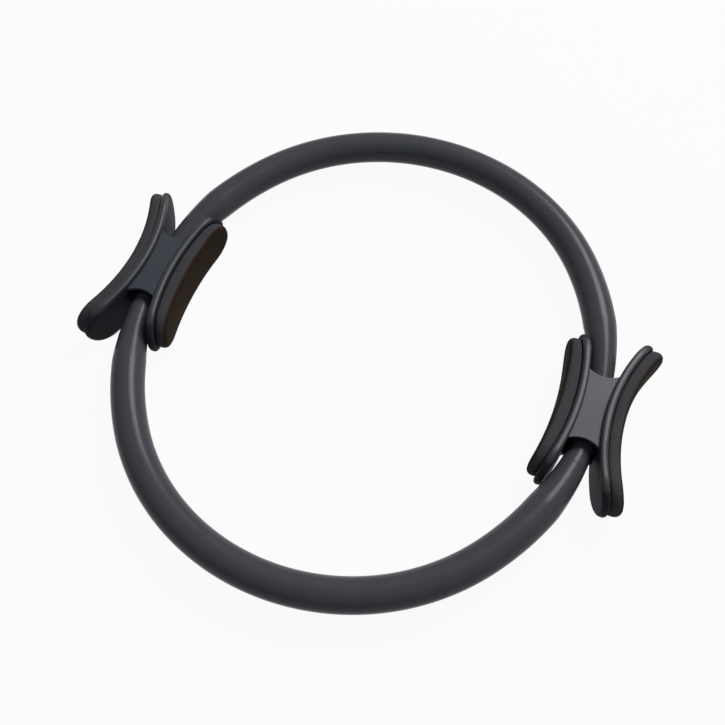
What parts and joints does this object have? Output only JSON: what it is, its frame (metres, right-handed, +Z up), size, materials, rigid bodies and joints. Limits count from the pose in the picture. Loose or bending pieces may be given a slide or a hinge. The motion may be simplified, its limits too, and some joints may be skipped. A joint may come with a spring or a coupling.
{
  "type": "pilates ring",
  "caption": "Sprung oval hoop in a soft round sleeve, with opposite handles of curved plates that carry foam pads inside and outside, squeezed or pushed apart for exercise.",
  "frame": {"origin": "middle of the hoop, on the surface that the ring lies on", "axes": "+Z up along the axis of the ring; the handles stand at +X and -X; +Y across, through the crowns"},
  "size_m": [0.3898, 0.381, 0.038],
  "materials": {
    "sleeve_rubber": "satin",
    "rod_fibre": "pultruded glass fibre",
    "hub_plastic": "satin moulded",
    "saddle_plastic": "satin moulded",
    "pad_foam": "fine closed-cell foam",
    "ferrule_metal": "black anodised",
    "fastener_steel": "zinc plated"
  },
  "bodies": {
    "left_handle": {"left_hub_front_shell": "hub_plastic", "left_hub_rear_shell": "hub_plastic", "left_outer_saddle": "saddle_plastic", "left_inner_saddle": "saddle_plastic", "left_outer_pad": "pad_foam", "left_inner_pad": "pad_foam", "left_outer_saddle_screws": "fastener_steel", "left_inner_saddle_screws": "fastener_steel", "left_ferrule": "ferrule_metal", "left_ferrule_pins": "fastener_steel", "left_rod_ends": "rod_fibre", "left_sleeve_ends": "sleeve_rubber"},
    "right_handle": {"right_hub_front_shell": "hub_plastic", "right_hub_rear_shell": "hub_plastic", "right_outer_saddle": "saddle_plastic", "right_inner_saddle": "saddle_plastic", "right_outer_pad": "pad_foam", "right_inner_pad": "pad_foam", "right_outer_saddle_screws": "fastener_steel", "right_inner_saddle_screws": "fastener_steel", "right_ferrule": "ferrule_metal", "right_ferrule_pins": "fastener_steel", "right_rod_ends": "rod_fibre", "right_sleeve_ends": "sleeve_rubber"},
    "upper_link_1": {"upper_sleeve_1": "sleeve_rubber", "upper_rod_1": "rod_fibre"},
    "upper_link_2": {"upper_sleeve_2": "sleeve_rubber", "upper_rod_2": "rod_fibre"},
    "upper_link_3": {"upper_sleeve_3": "sleeve_rubber", "upper_rod_3": "rod_fibre"},
    "upper_link_4": {"upper_sleeve_4": "sleeve_rubber", "upper_rod_4": "rod_fibre"},
    "upper_link_5": {"upper_sleeve_5": "sleeve_rubber", "upper_rod_5": "rod_fibre"},
    "upper_link_6": {"upper_sleeve_6": "sleeve_rubber", "upper_rod_6": "rod_fibre"},
    "lower_link_1": {"lower_sleeve_1": "sleeve_rubber", "lower_rod_1": "rod_fibre"},
    "lower_link_2": {"lower_sleeve_2": "sleeve_rubber", "lower_rod_2": "rod_fibre"},
    "lower_link_3": {"lower_sleeve_3": "sleeve_rubber", "lower_rod_3": "rod_fibre"},
    "lower_link_4": {"lower_sleeve_4": "sleeve_rubber", "lower_rod_4": "rod_fibre"},
    "lower_link_5": {"lower_sleeve_5": "sleeve_rubber", "lower_rod_5": "rod_fibre"},
    "lower_link_6": {"lower_sleeve_6": "sleeve_rubber", "lower_rod_6": "rod_fibre"}
  },
  "joints": [
    {"name": "upper_bend_1", "type": "hinge", "parent": "left_handle", "child": "upper_link_1", "pos_m": [-0.1569, 0.04, 0.019], "axis": [0, 0, -1], "range_deg": [-6.82, 1.29], "stiffness_Nm_per_rad": 54.1},
    {"name": "upper_bend_2", "type": "hinge", "parent": "upper_link_1", "child": "upper_link_2", "pos_m": [-0.14136, 0.08575, 0.019], "axis": [0, 0, -1], "range_deg": [-4.71, 0.89], "stiffness_Nm_per_rad": 32.4},
    {"name": "upper_bend_3", "type": "hinge", "parent": "upper_link_2", "child": "upper_link_3", "pos_m": [-0.06798, 0.16295, 0.019], "axis": [0, 0, -1], "range_deg": [-1.42, 7.51], "stiffness_Nm_per_rad": 28.4},
    {"name": "hoop_squeeze", "type": "hinge", "parent": "upper_link_3", "child": "upper_link_4", "pos_m": [0, 0.179, 0.019], "axis": [0, 0, -1], "range_deg": [-1.5, 8], "stiffness_Nm_per_rad": 36},
    {"name": "upper_bend_5", "type": "hinge", "parent": "upper_link_4", "child": "upper_link_5", "pos_m": [0.06798, 0.16295, 0.019], "axis": [0, 0, -1], "range_deg": [-1.42, 7.51], "stiffness_Nm_per_rad": 28.4},
    {"name": "upper_bend_6", "type": "hinge", "parent": "upper_link_5", "child": "upper_link_6", "pos_m": [0.14136, 0.08575, 0.019], "axis": [0, 0, -1], "range_deg": [-4.71, 0.89], "stiffness_Nm_per_rad": 32.4},
    {"name": "upper_bend_7", "type": "hinge", "parent": "upper_link_6", "child": "right_handle", "pos_m": [0.1569, 0.04, 0.019], "axis": [0, 0, -1], "range_deg": [-6.82, 1.29], "stiffness_Nm_per_rad": 54.1},
    {"name": "lower_bend_1", "type": "hinge", "parent": "left_handle", "child": "lower_link_1", "pos_m": [-0.1569, -0.04, 0.019], "axis": [0, 0, 1], "range_deg": [-6.82, 1.29], "stiffness_Nm_per_rad": 54.1},
    {"name": "lower_bend_2", "type": "hinge", "parent": "lower_link_1", "child": "lower_link_2", "pos_m": [-0.14136, -0.08575, 0.019], "axis": [0, 0, 1], "range_deg": [-4.71, 0.89], "stiffness_Nm_per_rad": 32.4},
    {"name": "lower_bend_3", "type": "hinge", "parent": "lower_link_2", "child": "lower_link_3", "pos_m": [-0.06798, -0.16295, 0.019], "axis": [0, 0, 1], "range_deg": [-1.42, 7.51], "stiffness_Nm_per_rad": 28.4},
    {"name": "lower_bend_4", "type": "hinge", "parent": "lower_link_3", "child": "lower_link_4", "pos_m": [0, -0.179, 0.019], "axis": [0, 0, 1], "range_deg": [-1.51, 8.01], "stiffness_Nm_per_rad": 36},
    {"name": "lower_bend_5", "type": "hinge", "parent": "lower_link_4", "child": "lower_link_5", "pos_m": [0.06798, -0.16295, 0.019], "axis": [0, 0, 1], "range_deg": [-1.42, 7.51], "stiffness_Nm_per_rad": 28.4},
    {"name": "lower_bend_6", "type": "hinge", "parent": "lower_link_5", "child": "lower_link_6", "pos_m": [0.14136, -0.08575, 0.019], "axis": [0, 0, 1], "range_deg": [-4.71, 0.89], "stiffness_Nm_per_rad": 32.4}
  ],
  "couplings": [
    {"joint": "upper_bend_1", "follows": "hoop_squeeze", "ratio": -0.8501},
    {"joint": "upper_bend_2", "follows": "hoop_squeeze", "ratio": -0.5863},
    {"joint": "upper_bend_3", "follows": "hoop_squeeze", "ratio": 0.9364},
    {"joint": "upper_bend_5", "follows": "hoop_squeeze", "ratio": 0.9364},
    {"joint": "upper_bend_6", "follows": "hoop_squeeze", "ratio": -0.5863},
    {"joint": "upper_bend_7", "follows": "hoop_squeeze", "ratio": -0.8501},
    {"joint": "lower_bend_1", "follows": "hoop_squeeze", "ratio": -0.8501},
    {"joint": "lower_bend_2", "follows": "hoop_squeeze", "ratio": -0.5863},
    {"joint": "lower_bend_3", "follows": "hoop_squeeze", "ratio": 0.9364},
    {"joint": "lower_bend_4", "follows": "hoop_squeeze", "ratio": 1},
    {"joint": "lower_bend_5", "follows": "hoop_squeeze", "ratio": 0.9364},
    {"joint": "lower_bend_6", "follows": "hoop_squeeze", "ratio": -0.5863}
  ]
}
